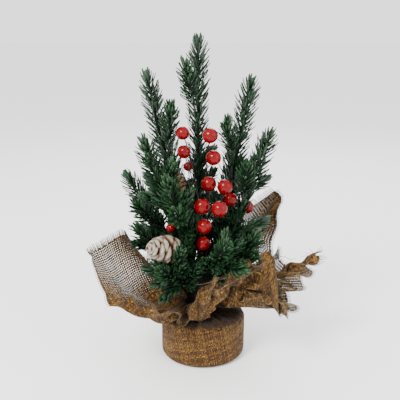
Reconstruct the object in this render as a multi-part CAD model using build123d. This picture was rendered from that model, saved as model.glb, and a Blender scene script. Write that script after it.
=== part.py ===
from build123d import *
import math
import os

# Tabletop artificial tree: a weighted round foot wrapped in one square of burlap,
# a short post with ball sockets, and bendable sprigs, berry picks and cones.
# Millimetres, +Z up, origin at the middle of the foot's underside.

# ---- foot and post ----
FOOT_RADIUS = 40.0        # over the burlap
FOOT_HEIGHT = 41.0        # over the burlap
FOOT_EDGE = 5.0           # rounding of the lower edge
CLOTH = 1.0               # burlap thickness, gathers included
POST_RADIUS = 5.5
POST_BOTTOM = 10.0
POST_TOP = 92.2
TAPE_BOTTOM = 41.0
TAPE_TOP = 57.0
TAPE_THICKNESS = 0.5
NECK_RADIUS = 12.0        # outside of the gathered cloth
NECK_TOP = 47.0
BAND_Z = 44.4             # elastic tie round the gathered neck
BAND_SECTION = 1.1

# ---- sockets ----
BALL = 1.8                # ball radius at the root of a sprig
PICK_BALL = 1.0           # ball radius at the root of a berry pick
BALL_GAP = 0.15
CUP_RADIUS = 2.5
CUP_LIP = 0.3             # how far the cup reaches past the ball centre
SOCKET_RING = 8.0         # radius of the side sockets
PICK_RING = 3.6           # radius of the ring of sockets on top of the post
PICK_Z = 92.0

# ---- sprigs ----
STEM = 1.2                # main stem radius
SHOOT_STEM = 0.9          # side shoot stem radius
STEM_SHORT = 4.0          # needles run on past the end of the stem
TIER = 9.0                # one tier of needles along the stem
LOW_START = 18.0          # pressed needles begin this far past the knee
# root azimuth, root height, azimuth, lean from vertical, length, start of full needles,
# radius of the needles pressed along the stem below that, full needle radius,
# side shoots (share of the way along, azimuth, lean, length, bare stem, needle radius)
SPRIGS = {
    "top": (110, 86, 120, 1, 214, 65, 3.2, 6.5, [(0.60, -117, 24, 66, 34, 5.5)]),
    "high_left": (163, 80, 174, 13, 195, 90, 3.2, 6.5, [(0.50, -80, 20, 67, 36, 5.5)]),
    "high_right": (15, 80, 7, 11, 188, 80, 3.2, 6.5, [(0.50, -110, 24, 56, 32, 5.5)]),
    "mid_left": (202, 80, -144, 22, 148, 50, 2.4, 6.5, [(0.50, -75, 30, 48, 26, 5.5)]),
    "mid_right": (-15, 72, -2, 20, 156, 72, 3.2, 6.5, [(0.45, -82, 26, 52, 28, 5.5), (0.22, 18, 68, 42, 14, 5.0)]),
    "side_left": (180, 66, -178, 29, 130, 45, 3.2, 6.5, [(0.45, -126, 46, 50, 25, 5.5), (0.25, 150, 64, 42, 14, 5.0)]),
    "low_left": (203, 60, -164, 38, 94, 35, 3.2, 5.5, []),
    "centre_front": (245, 78, -121, 26, 120, 50, 3.2, 6.0, [(0.50, -100, 58, 38, 18, 5.0)]),
    "low_front_left": (242, 60, -122, 54, 79, 30, 3.2, 5.5, []),
    "low_front_right": (-75, 66, -72, 42, 88, 30, 3.2, 5.5, [(0.40, -48, 80, 40, 18, 5.0)]),
    "low_right": (-40, 60, -25, 36, 85, 30, 3.2, 5.5, [(0.40, -53, 60, 35, 20, 5.0)]),
    "back_left": (135, 70, 122, 22, 152, 50, 3.2, 6.5, [(0.50, 145, 70, 42, 18, 5.5), (0.25, 108, 66, 44, 14, 5.0)]),
    "back_right": (50, 70, 61, 23, 144, 50, 3.2, 6.5, [(0.50, 39, 70, 39, 18, 5.5), (0.25, 74, 62, 44, 14, 5.0)]),
    "back": (90, 62, 90, 37, 115, 40, 3.2, 6.5, [(0.50, 117, 71, 43, 18, 5.5), (0.50, 60, 70, 43, 20, 5.5)]),
}

# ---- berry picks ----
WIRE = 0.5
# root ring radius, root azimuth, berry diameter, then for each wire its bends and the berry centre
PICKS = {
    "high_left": (PICK_RING, 150, 12.0, [[(-3, -6, 150), (-11, -8, 194), (-18, -15, 217)],
                                      [(-3, -6, 150), (-17, -18, 201)]]),
    "high_right": (PICK_RING, 90, 13.5, [[(3, 3, 150), (3, -8, 190), (6, -22, 216)],
                                      [(3, 3, 150), (9, -20, 196)]]),
    "mid_right": (PICK_RING, -30, 13.5, [[(7, -6, 120), (5, -22, 173)], [(7, -6, 120), (19, -30, 172)]]),
    "centre": (0.0, 0, 14.0, [[(0, -5, 112), (-1, -36, 156)], [(0, -5, 112), (14, -44, 156)]]),
    "low": (PICK_RING, -90, 13.0, [[(0, -9, 102), (1, -40, 139)], [(0, -9, 102), (0, -36, 122)]]),
    "side_left": (PICK_RING, -150, 8.8, [[(-6, -9, 108), (-29, -24, 132.5)], [(-8, -2, 125), (-13.6, -3, 184.6)]]),
    "side_right": (PICK_RING, 30, 12.5, [[(8, 9, 108), (42, 13, 142)], [(11, -4, 112), (25, -8, 155)]]),
}

# ---- cones ----
CONE_WIRE = 0.7
CONE_BALL = 1.6
# root azimuth, root height, way point, centre, azimuth and lean of the axis, diameter, length, rings
CONES = {
    "frosted_cone": (222, 69, (-15, -15, 88), (-34.5, -43, 120.5), -140, 75, 24.5, 34.0, 6),
    "brown_cone": (183, 87, (-15, -2, 110), (-27, -8, 172), 175, 20, 17.0, 24.0, 5),
}

# ---- burlap wings: ribs from the neck out to the edge of the cloth ----
WINGS = {
    "wing_left": ((0, 0, CLOTH * 1.5), [
        [(-7, -9.5, 47), (-40, -33, 51), (-83, -46, 74)],
        [(-11.5, -3, 49), (-56, -19, 67), (-107, -12, 111)],
        [(-10, 6, 51), (-46, 4, 80), (-78, 14, 117)],
    ]),
    "wing_back": ((-0.7 * CLOTH, 1.3 * CLOTH, 0), [
        [(1, 11.5, 50), (24, 44, 100), (50, 42, 126)],
        [(8, 9, 50), (42, 28, 92), (73, 38, 146)],
        [(11.5, 3, 48), (50, 22, 77), (72, 38, 92)],
    ]),
    "wing_rear": ((0, 0, CLOTH * 1.5), [
        [(-10.5, 5.5, 50), (-32, 22, 74), (-52, 32, 94)],
        [(-5, 11, 49), (-14, 38, 64), (-22, 62, 80)],
        [(0.5, 12, 49), (8, 38, 62), (14, 60, 78)],
    ]),
    "wing_right": ((0, 0, CLOTH * 1.5), [
        [(10, -6.5, 47.2), (40, -26, 48), (72, -44, 55)],
        [(11.5, -2, 48), (56, -15, 60), (92, -20, 70)],
        [(11.8, 1, 50), (55, 1, 70), (100, 1, 82)],
        [(11.3, 4, 51), (54, 8, 74), (109, 8, 98)],
    ]),
    "wing_front": ((0.3 * CLOTH, -1.4 * CLOTH, 0), [
        [(-4, -11.2, 47.2), (-7, -22, 60), (-12, -32, 72)],
        [(1, -11.8, 47.2), (10, -31, 68), (24, -44, 88)],
        [(7, -9.6, 47.2), (30, -34, 70), (60, -44, 107)],
    ]),
}


def ray(azimuth, lean):
    """Unit vector leaning away from vertical towards an azimuth, in degrees."""
    a = math.radians(azimuth)
    b = math.radians(lean)
    return Vector(math.sin(b) * math.cos(a), math.sin(b) * math.sin(a), math.cos(b))


def ring_point(azimuth, radius, z):
    a = math.radians(azimuth)
    return Vector(radius * math.cos(a), radius * math.sin(a), z)


def along(start, direction, length, radius):
    """Round bar from a point."""
    plane = Plane(origin=start, z_dir=direction)
    return plane * extrude(Circle(radius), amount=length)


def bent_bar(points, radius, bend):
    """Round wire following a path with rounded bends."""
    path = FilletPolyline(*points, radius=bend)
    section = Plane(origin=points[0], z_dir=points[1] - points[0]) * Circle(radius)
    return sweep(section, path=path)


def tiered_envelope(start, direction, length, radius, hole, stem_end, low_run=0.0, low_radius=0.0):
    """Needle brush round a stem: a stack of shallow cones opening towards the tip."""
    tiers = max(3, round(length / TIER))
    step = length / tiers
    outline = [(hole, 0)]
    if low_run:
        outline = [(hole, -low_run), (low_radius, -low_run + 4), (low_radius, 0)]
    for i in range(tiers - 1):
        grow = min(1.0, 0.62 + 0.2 * i)
        outline.append((radius * 0.62 * grow, step * i))
        outline.append((radius * grow, step * (i + 0.85)))
    outline.append((radius * 0.6, step * (tiers - 1)))
    outline.append((radius * 0.75, step * (tiers - 0.5)))
    outline.append((0, length))
    outline.append((0, stem_end))
    outline.append((hole, stem_end))
    profile = make_face(Polyline(*[(x, 0, z) for x, z in outline], close=True))
    solid = revolve(profile, axis=Axis.Z)
    return Plane(origin=start, z_dir=direction) * solid


def sprig(spec):
    """Stem solid and needle solids of one sprig, in the rest position."""
    root_az, root_z, az, lean, length, bare, low_radius, needle_radius, shoots = spec
    root = ring_point(root_az, SOCKET_RING, root_z)
    elbow = root + ray(root_az, 60) * 5.5
    knee = elbow + ray(az, lean * 0.5) * 12
    tip = root + ray(az, lean) * length
    run = (tip - knee).length
    out = (tip - knee).normalized()
    stem = bent_bar([root, elbow, knee, tip - out * STEM_SHORT], STEM, 3.0)
    stem += Pos(*root) * Sphere(BALL)
    brush = tiered_envelope(knee + out * bare, out, run - bare, needle_radius, STEM, run - bare - STEM_SHORT,
                            bare - LOW_START, low_radius)
    needles = [brush]
    for share, shoot_az, shoot_lean, shoot_length, shoot_bare, shoot_radius in shoots:
        fork = knee + out * (run * share)
        way = ray(shoot_az, shoot_lean)
        twig = along(fork, way, shoot_length - 3, SHOOT_STEM)
        stem += twig
        needles[0] = needles[0] - twig
        shoot_run = shoot_length - shoot_bare
        needles.append(tiered_envelope(fork + way * shoot_bare, way, shoot_run, shoot_radius,
                                       SHOOT_STEM, shoot_run - 3))
    return stem, Compound(children=needles)


def berry_pick(spec):
    """Twin wires from one root, each ending in a berry."""
    ring, root_az, diameter, branches = spec
    root = ring_point(root_az, ring, PICK_Z)
    wires = Pos(*root) * Sphere(PICK_BALL)
    berries = []
    for branch in branches:
        centre = Vector(*branch[-1])
        points = [root, root + Vector(0, 0, 5)] + [Vector(*point) for point in branch]
        wire = bent_bar(points, WIRE, 1.5)
        wires += wire
        berries.append((Pos(*centre) * Sphere(diameter / 2)) - wire)
    return wires, Compound(children=berries)


def cone_body(spec):
    """Wire and scaly body of a small pine cone."""
    root_az, root_z, way_point, centre, az, lean, diameter, length, rings = spec
    root = ring_point(root_az, SOCKET_RING, root_z)
    elbow = root + ray(root_az, 60) * 5.0
    centre = Vector(*centre)
    out = ray(az, lean)
    base = centre - out * (length / 2)
    wire = bent_bar([root, elbow, Vector(*way_point), base + out * 3], CONE_WIRE, 2.0)
    wire += Pos(*root) * Sphere(CONE_BALL)
    half = diameter / 2
    outline = [(0, 0), (half * 0.45, 0), (half * 0.74, length * 0.16), (half * 0.72, length * 0.38),
               (half * 0.5, length * 0.66), (half * 0.24, length * 0.88), (0, length * 0.95)]
    core = revolve(make_face(Polyline(*[(x, 0, z) for x, z in outline], close=True)), axis=Axis.Z)
    scales = []
    for ring in range(rings):
        share = ring / (rings - 1)
        reach = half * (1.0 - 0.62 * share * share)
        height = length * (0.10 + 0.72 * share)
        count = 8 if ring < rings - 1 else 5
        width = 2 * math.pi * reach / count * 0.44
        leaf = Polyline((reach * 0.3, -width * 0.5), (reach * 0.8, -width), (reach, -width * 0.35),
                        (reach, width * 0.35), (reach * 0.8, width), (reach * 0.3, width * 0.5), close=True)
        plate = extrude(make_face(leaf), amount=length * 0.035)
        plate = Rot(0, -14 - 22 * share, 0) * plate
        for i in range(count):
            turn = 360 / count * i + 180 / count * (ring % 2)
            scales.append(Pos(0, 0, height) * Rot(0, 0, turn) * plate)
    body = core + scales
    body = Plane(origin=base, z_dir=out) * body
    return wire, body - wire


def burlap_wing(push, ribs):
    """One wing of cloth: thin prisms between neighbouring ribs, all pushed the same way."""
    solids = []
    push = Vector(*push)
    for left, right in zip(ribs, ribs[1:]):
        for i in range(len(left) - 1):
            a, b = Vector(*left[i]), Vector(*left[i + 1])
            c, d = Vector(*right[i]), Vector(*right[i + 1])
            for corners in ((a, b, c), (b, d, c)):
                face = make_face(Polyline(*corners, close=True))
                solids.append(extrude(face, amount=push.length, dir=push.normalized()))
    wing = solids[0]
    for solid in solids[1:]:
        wing += solid
    return wing


# ---- foot: plaster weight wrapped in cloth ----
weight = Pos(0, 0, CLOTH) * Cylinder(FOOT_RADIUS - CLOTH, FOOT_HEIGHT - 2 * CLOTH,
                                     align=(Align.CENTER, Align.CENTER, Align.MIN))
weight = fillet(weight.edges().group_by(Axis.Z)[0], FOOT_EDGE - CLOTH)
weight = fillet(weight.edges().group_by(Axis.Z)[-1], 1.5)
cover = Cylinder(FOOT_RADIUS, FOOT_HEIGHT, align=(Align.CENTER, Align.CENTER, Align.MIN))
cover = fillet(cover.edges().group_by(Axis.Z)[0], FOOT_EDGE)
cover = fillet(cover.edges().group_by(Axis.Z)[-1], 2.5)
neck_hole = Pos(0, 0, FOOT_HEIGHT - 3) * Cylinder(NECK_RADIUS - CLOTH, 6)
cover = cover - weight - neck_hole
seat = Pos(0, 0, POST_BOTTOM) * Cylinder(POST_RADIUS, 60, align=(Align.CENTER, Align.CENTER, Align.MIN))
weight = weight - seat

neck_outline = [(NECK_RADIUS - CLOTH, FOOT_HEIGHT), (NECK_RADIUS, FOOT_HEIGHT), (NECK_RADIUS - 1.6, BAND_Z - 1.2),
                (NECK_RADIUS - 1.6, BAND_Z + 1.2), (NECK_RADIUS, NECK_TOP), (NECK_RADIUS - CLOTH, NECK_TOP),
                (NECK_RADIUS - 1.6 - CLOTH, BAND_Z + 1.2), (NECK_RADIUS - 1.6 - CLOTH, BAND_Z - 1.2)]
neck = revolve(make_face(Polyline(*[(x, 0, z) for x, z in neck_outline], close=True)), axis=Axis.Z)
band = Pos(0, 0, BAND_Z) * Torus(NECK_RADIUS - 1.6 + BAND_SECTION, BAND_SECTION)

# ---- post: bundled stems with cups round the side and on top ----
post = Pos(0, 0, POST_BOTTOM) * Cylinder(POST_RADIUS, POST_TOP - POST_BOTTOM,
                                         align=(Align.CENTER, Align.CENTER, Align.MIN))
side_roots = [(spec[0], spec[1], BALL) for spec in SPRIGS.values()]
side_roots += [(spec[0], spec[1], CONE_BALL) for spec in CONES.values()]
for azimuth, z, _ in side_roots:
    post += along(Vector(0, 0, z), ray(azimuth, 90), SOCKET_RING + CUP_LIP, CUP_RADIUS)
for azimuth, z, ball in side_roots:
    turned = Rot(0, 0, azimuth) * Rot(0, 90, 0)
    post -= Pos(*ring_point(azimuth, SOCKET_RING, z)) * turned * Sphere(ball + BALL_GAP)
for spec in PICKS.values():
    post -= Pos(*ring_point(spec[1], spec[0], PICK_Z)) * Sphere(PICK_BALL + BALL_GAP)
tape = Pos(0, 0, TAPE_BOTTOM) * Cylinder(POST_RADIUS + TAPE_THICKNESS, TAPE_TOP - TAPE_BOTTOM,
                                         align=(Align.CENTER, Align.CENTER, Align.MIN))
tape -= seat

nodes = {
    "foot_weight": weight,
    "burlap_foot": cover,
    "burlap_neck": neck,
    "neck_tie": band,
    "post": post,
    "post_tape": tape,
}
for name, (push, ribs) in WINGS.items():
    nodes["burlap_" + name] = burlap_wing(push, ribs)
for name, spec in SPRIGS.items():
    stem, needles = sprig(spec)
    nodes["sprig_" + name + "_stem"] = stem
    nodes["sprig_" + name + "_needles"] = needles
for name, spec in PICKS.items():
    wires, berries = berry_pick(spec)
    nodes["pick_" + name + "_wires"] = wires
    nodes["pick_" + name + "_berries"] = berries
for name, spec in CONES.items():
    wire, body = cone_body(spec)
    nodes[name + "_wire"] = wire
    nodes[name + "_scales"] = body

os.makedirs("parts", exist_ok=True)
for name, shape in nodes.items():
    export_step(shape, os.path.join("parts", name + ".step"))
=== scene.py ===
"""Looks of the artificial tabletop tree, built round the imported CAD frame. Metres, +Z up."""

import math

import bpy
import numpy as np
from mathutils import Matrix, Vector


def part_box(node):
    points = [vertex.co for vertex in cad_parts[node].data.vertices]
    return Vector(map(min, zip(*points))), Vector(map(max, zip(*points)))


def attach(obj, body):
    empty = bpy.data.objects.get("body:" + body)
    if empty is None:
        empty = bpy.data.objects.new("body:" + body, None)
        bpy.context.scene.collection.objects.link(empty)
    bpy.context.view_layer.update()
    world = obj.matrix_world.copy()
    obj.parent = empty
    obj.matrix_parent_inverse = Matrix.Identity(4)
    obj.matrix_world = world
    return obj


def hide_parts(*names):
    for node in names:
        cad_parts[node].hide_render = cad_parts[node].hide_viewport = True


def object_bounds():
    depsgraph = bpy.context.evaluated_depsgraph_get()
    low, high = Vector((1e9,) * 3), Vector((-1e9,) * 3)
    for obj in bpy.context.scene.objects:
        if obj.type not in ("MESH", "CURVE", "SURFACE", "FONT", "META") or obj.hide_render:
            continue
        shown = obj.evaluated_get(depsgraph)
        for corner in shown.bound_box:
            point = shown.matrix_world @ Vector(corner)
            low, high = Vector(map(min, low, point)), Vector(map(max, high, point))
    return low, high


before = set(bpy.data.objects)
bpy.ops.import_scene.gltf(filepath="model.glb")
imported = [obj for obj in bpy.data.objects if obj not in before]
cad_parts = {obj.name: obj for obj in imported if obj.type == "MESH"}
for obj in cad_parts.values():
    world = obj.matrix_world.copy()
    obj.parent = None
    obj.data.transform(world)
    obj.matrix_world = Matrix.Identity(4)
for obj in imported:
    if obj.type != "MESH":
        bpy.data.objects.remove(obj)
CAD_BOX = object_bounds()

MM = 0.001
RNG = np.random.default_rng(20261116)
GOLDEN = math.radians(137.508)


# ---- mesh helpers
def make_mesh(name, verts, faces, material, body, smooth=True):
    """Object from a vertex array and a list of equal-length face arrays."""
    mesh = bpy.data.meshes.new(name)
    verts = np.asarray(verts, dtype=np.float64)
    loops, starts, at = [], [], 0
    for block in faces:
        block = np.asarray(block, dtype=np.int64)
        size = block.shape[1]
        loops.append(block.ravel())
        starts.append(at + size * np.arange(len(block)))
        at += size * len(block)
    loops = np.concatenate(loops)
    starts = np.concatenate(starts)
    mesh.vertices.add(len(verts))
    mesh.vertices.foreach_set("co", verts.astype(np.float32).ravel())
    mesh.loops.add(len(loops))
    mesh.loops.foreach_set("vertex_index", loops.astype(np.int32))
    mesh.polygons.add(len(starts))
    mesh.polygons.foreach_set("loop_start", starts.astype(np.int32))
    mesh.update(calc_edges=True)
    mesh.validate()
    mesh.polygons.foreach_set("use_smooth", np.full(len(mesh.polygons), smooth))
    mesh.update()
    obj = bpy.data.objects.new(name, mesh)
    bpy.context.scene.collection.objects.link(obj)
    mesh.materials.append(material)
    if body:
        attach(obj, body)
    return obj


def point_colour(obj, name, rgba):
    """Colour attribute, one value per vertex."""
    layer = obj.data.color_attributes.new(name=name, type="FLOAT_COLOR", domain="POINT")
    layer.data.foreach_set("color", np.asarray(rgba, dtype=np.float32).ravel())


def unit(v):
    v = np.asarray(v, dtype=float)
    return v / np.linalg.norm(v, axis=-1, keepdims=True)


def node_parts(node):
    """Vertex arrays of a CAD node's separate solids, in metres."""
    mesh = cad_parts[node].data
    co = np.empty(len(mesh.vertices) * 3, dtype=np.float32)
    mesh.vertices.foreach_get("co", co)
    co = co.reshape(-1, 3)
    keys, inverse = np.unique(np.round(co / 2e-6).astype(np.int64), axis=0, return_inverse=True)
    inverse = inverse.ravel()
    edges = np.empty(len(mesh.edges) * 2, dtype=np.int32)
    mesh.edges.foreach_get("vertices", edges)
    edges = inverse[edges.reshape(-1, 2)]
    label = np.arange(len(keys))
    while True:
        low = np.minimum(label[edges[:, 0]], label[edges[:, 1]])
        new = label.copy()
        np.minimum.at(new, edges[:, 0], low)
        np.minimum.at(new, edges[:, 1], low)
        new = new[new]
        if np.array_equal(new, label):
            break
        label = new
    points = keys * 2e-6
    return [points[label == k] for k in np.unique(label)]


def axis_frame(direction):
    """Two unit vectors square to a direction."""
    helper = np.array([0.0, 0.0, 1.0]) if abs(direction[2]) < 0.9 else np.array([1.0, 0.0, 0.0])
    side = unit(np.cross(helper, direction))
    return side, np.cross(direction, side)


def tube_quads(at, rings, sides):
    """Faces between the neighbouring rings of a tube whose first vertex has the index at."""
    quads = []
    for first in range(at, at + rings * sides, sides):
        for k in range(sides):
            a, b = first + k, first + (k + 1) % sides
            quads.append([a, b, b + sides, a + sides])
    return quads


# ---- node graph helpers
class Graph:
    """Small wrapper that builds a material's node graph."""

    def __init__(self, name):
        self.material = bpy.data.materials.new(name)
        self.material.use_nodes = True
        self.tree = self.material.node_tree
        self.tree.nodes.clear()
        self.out = self.tree.nodes.new("ShaderNodeOutputMaterial")
        self.shader = self.tree.nodes.new("ShaderNodeBsdfPrincipled")
        self.tree.links.new(self.shader.outputs[0], self.out.inputs["Surface"])

    def link(self, source, socket):
        self.tree.links.new(source, socket)

    def put(self, node, name, value):
        socket = node.inputs[name]
        if hasattr(value, "is_output"):
            self.link(value, socket)
        else:
            socket.default_value = value

    def set(self, **values):
        for name, value in values.items():
            self.put(self.shader, name.replace("_", " "), value)

    def coords(self, kind="Object"):
        return self.tree.nodes.new("ShaderNodeTexCoord").outputs[kind]

    def attribute(self, name, output="Color"):
        node = self.tree.nodes.new("ShaderNodeAttribute")
        node.attribute_name = name
        return node.outputs[output]

    def channels(self, name):
        """Red, green and blue of a colour attribute."""
        node = self.tree.nodes.new("ShaderNodeSeparateColor")
        self.link(self.attribute(name), node.inputs[0])
        return node.outputs

    def split(self, vector):
        node = self.tree.nodes.new("ShaderNodeSeparateXYZ")
        self.link(vector, node.inputs[0])
        return node.outputs

    def join(self, x, y, z=0.0):
        node = self.tree.nodes.new("ShaderNodeCombineXYZ")
        for i, value in enumerate((x, y, z)):
            self.put(node, i, value)
        return node.outputs[0]

    def math(self, op, a, b=0.0, c=0.0, clamp=False):
        node = self.tree.nodes.new("ShaderNodeMath")
        node.operation = op
        node.use_clamp = clamp
        for i, value in enumerate((a, b, c)):
            self.put(node, i, value)
        return node.outputs[0]

    def add(self, a, b):
        return self.math("ADD", a, b)

    def sub(self, a, b, clamp=False):
        return self.math("SUBTRACT", a, b, clamp=clamp)

    def mul(self, a, b, clamp=False):
        return self.math("MULTIPLY", a, b, clamp=clamp)

    def noise(self, vector, scale, detail=3.0, rough=0.5, distort=0.0):
        node = self.tree.nodes.new("ShaderNodeTexNoise")
        self.put(node, "Vector", vector)
        self.put(node, "Scale", scale)
        self.put(node, "Detail", detail)
        self.put(node, "Roughness", rough)
        self.put(node, "Distortion", distort)
        return node.outputs["Fac"]

    def white(self, vector):
        node = self.tree.nodes.new("ShaderNodeTexWhiteNoise")
        node.noise_dimensions = "3D"
        self.link(vector, node.inputs["Vector"])
        return node.outputs["Value"]

    def mix(self, factor, a, b):
        node = self.tree.nodes.new("ShaderNodeMix")
        node.data_type = "RGBA"
        self.put(node, 0, factor)
        self.put(node, 6, a)
        self.put(node, 7, b)
        return node.outputs[2]

    def ramp(self, factor, stops):
        node = self.tree.nodes.new("ShaderNodeValToRGB")
        ramp = node.color_ramp
        while len(ramp.elements) < len(stops):
            ramp.elements.new(0.5)
        for element, (place, colour) in zip(ramp.elements, stops):
            element.position = place
            element.color = colour
        self.link(factor, node.inputs[0])
        return node.outputs[0]

    def bump(self, height, distance, strength=1.0):
        node = self.tree.nodes.new("ShaderNodeBump")
        self.put(node, "Strength", strength)
        self.put(node, "Distance", distance)
        self.link(height, node.inputs["Height"])
        self.link(node.outputs[0], self.shader.inputs["Normal"])


def rgb(r, g, b):
    return (r, g, b, 1.0)


# ---- materials
def needle_material():
    g = Graph("needle_plastic")
    data = g.channels("needle")
    along, tone, lit = data[0], data[1], data[2]
    body = g.mix(tone, rgb(0.0012, 0.0060, 0.0028), rgb(0.0036, 0.0170, 0.0070))
    tip = g.mix(tone, rgb(0.013, 0.052, 0.018), rgb(0.050, 0.130, 0.045))
    # painted light: the tips' pale colour is scaled by lit, a brightness given per sprig and shoot on top of
    # the needles' own paler tips
    edge = g.math("POWER", along, 1.6)
    edge = g.mul(edge, lit)
    colour = g.mix(edge, body, tip)
    streak = g.noise(g.coords(), 900.0, 2.0)
    colour = g.mix(g.mul(streak, 0.35), colour, rgb(0.007, 0.024, 0.012))
    g.set(Base_Color=colour, Roughness=0.36)
    g.shader.inputs["Specular IOR Level"].default_value = 0.35
    g.bump(streak, 0.00008, 0.5)
    return g.material


def berry_material():
    g = Graph("berry_gloss")
    where = g.coords()
    cloud = g.noise(where, 60.0, 3.0, 0.55)
    colour = g.ramp(cloud, [(0.3, rgb(0.075, 0.0001, 0.0004)), (0.5, rgb(0.115, 0.0002, 0.0006)),
                            (0.75, rgb(0.160, 0.0004, 0.0012))])
    data = g.channels("berry")
    colour = g.mix(data[0], colour, rgb(0.015, 0.003, 0.002))
    colour = g.mix(g.mul(data[1], 0.30), colour, rgb(0.19, 0.0020, 0.0070))
    g.set(Base_Color=colour, Roughness=0.13)
    g.shader.inputs["Specular IOR Level"].default_value = 0.18
    dent = g.noise(where, 260.0, 2.0)
    g.bump(dent, 0.00012, 0.5)
    return g.material


FROST_FROM = 1.14       # how far out on a scale the frosting starts; lower covers more


def cone_material(name, frosted):
    g = Graph(name)
    where = g.coords()
    data = g.channels("scale")
    out, tone = data[0], data[1]
    grain = g.noise(where, 500.0, 4.0, 0.6)
    wood = g.mix(grain, rgb(0.045, 0.018, 0.008), rgb(0.150, 0.070, 0.030))
    wood = g.mix(g.mul(tone, 0.5), wood, rgb(0.20, 0.11, 0.055))
    if frosted:
        patch = g.noise(where, 340.0, 4.0, 0.65)
        edge = g.add(g.mul(out, 1.3), g.mul(patch, 0.8))
        cover = g.mul(g.sub(edge, FROST_FROM), 3.0, clamp=True)
        snow = g.mix(patch, rgb(0.10, 0.085, 0.06), rgb(0.40, 0.38, 0.32))
        wood = g.mix(cover, wood, snow)
    g.set(Base_Color=wood, Roughness=0.72)
    g.bump(g.noise(where, 1100.0, 3.0, 0.6), 0.0003, 0.8)
    return g.material


PITCH_U, PITCH_V = 1.75, 2.6    # thread spacing of the two families in weave units
OPEN_NARROWS = -0.285           # how much thinner a thread is, in pitches, where the weave is open
SLUB = 0.28                     # how much a thread's width varies along it, in pitches
UNDER = 0.45                    # height of a thread where it passes under, against 1 on top


def burlap_material():
    """Two thread families that pass over and under each other, with holes between them where it is open."""
    g = Graph("burlap_weave")
    place = g.split(g.attribute("UVMap", "Vector"))
    data = g.channels("cloth")
    opened, dark = data[0], data[1]
    on_cloth = g.join(place[0], place[1])

    def family(across, drift, pitch):
        """Thread number and distance from that thread's middle, both in pitches."""
        drift = g.mul(g.sub(drift, 0.5), 1.2)
        at = g.math("DIVIDE", g.add(across, drift), pitch)
        number = g.math("FLOOR", at)
        return number, g.math("ABSOLUTE", g.sub(g.sub(at, number), 0.5))

    def present(off, slub):
        half = g.add(g.add(0.50, g.mul(opened, OPEN_NARROWS)), g.mul(g.sub(slub, 0.5), SLUB))
        return g.math("LESS_THAN", off, half)

    def relief(off, over):
        rounded = g.sub(1.0, g.math("POWER", g.math("DIVIDE", off, 0.5), 2.0), clamp=True)
        return g.mul(rounded, g.add(UNDER, g.mul(over, 1 - UNDER)))

    iu, fu = family(place[0], g.noise(on_cloth, 0.05, 2.0), PITCH_U)
    iv, fv = family(place[1], g.noise(on_cloth, 0.04, 2.0, 0.5, 0.6), PITCH_V)
    ru = g.white(g.join(iu, 3.0, 1.0))
    rv = g.white(g.join(iv, 11.0, 2.0))
    slub_u = g.noise(g.join(g.mul(iu, 7.3), g.mul(place[1], 0.22)), 1.0, 3.0)
    slub_v = g.noise(g.join(g.mul(place[0], 0.22), g.mul(iv, 7.3)), 1.0, 3.0)
    alpha = g.math("MAXIMUM", present(fu, slub_u), present(fv, slub_v))
    parity = g.math("MODULO", g.math("ABSOLUTE", g.add(iu, iv)), 2.0)
    over_u = relief(fu, parity)
    over_v = relief(fv, g.sub(1.0, parity))
    height = g.math("MAXIMUM", over_u, over_v)
    pick = g.math("GREATER_THAN", over_u, over_v)
    other = g.sub(1.0, pick)
    tone = g.add(g.mul(pick, slub_u), g.mul(other, slub_v))
    each = g.add(g.mul(pick, ru), g.mul(other, rv))
    fibre = g.noise(on_cloth, 2.2, 3.0, 0.7)
    speck = g.white(g.join(iu, iv, 5.0))
    tone = g.add(g.mul(tone, 0.50), g.mul(each, 0.20))
    tone = g.add(tone, g.add(g.mul(fibre, 0.22), g.mul(speck, 0.13)))
    close = g.ramp(tone, [(0.34, rgb(0.011, 0.003, 0.0005)), (0.48, rgb(0.056, 0.022, 0.003)),
                          (0.60, rgb(0.150, 0.071, 0.011)), (0.74, rgb(0.320, 0.186, 0.042))])
    loose = g.ramp(tone, [(0.32, rgb(0.015, 0.010, 0.005)), (0.50, rgb(0.070, 0.055, 0.030)),
                          (0.70, rgb(0.220, 0.185, 0.115))])
    colour = g.mix(opened, close, loose)
    # painted shade: darker where a thread is low, at its sides and where it passes under the other family
    crevice_shade = g.mul(g.sub(1.0, height), 0.85)
    colour = g.mix(crevice_shade, colour, rgb(0.010, 0.004, 0.002))
    # painted shade: darkened by the cloth attribute's second channel, the shade painted on the drum's top, the
    # gathered cloth and some folds
    colour = g.mix(g.mul(dark, 0.85), colour, rgb(0.008, 0.004, 0.002))
    g.set(Base_Color=colour, Roughness=0.88, Alpha=alpha)
    g.shader.inputs["Specular IOR Level"].default_value = 0.2
    g.shader.inputs["Sheen Weight"].default_value = 0.04
    g.bump(height, 0.0004, 1.0)
    return g.material


def grained(name, scale, stops, roughness, bump, detail=4.0, rough=0.6, strength=0.8):
    """A few tones of one colour, mixed by a fine grain that is also its relief."""
    g = Graph(name)
    grain = g.noise(g.coords(), scale, detail, rough)
    g.set(Base_Color=g.ramp(grain, stops), Roughness=roughness)
    g.bump(grain, bump, strength)
    return g.material


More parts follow.
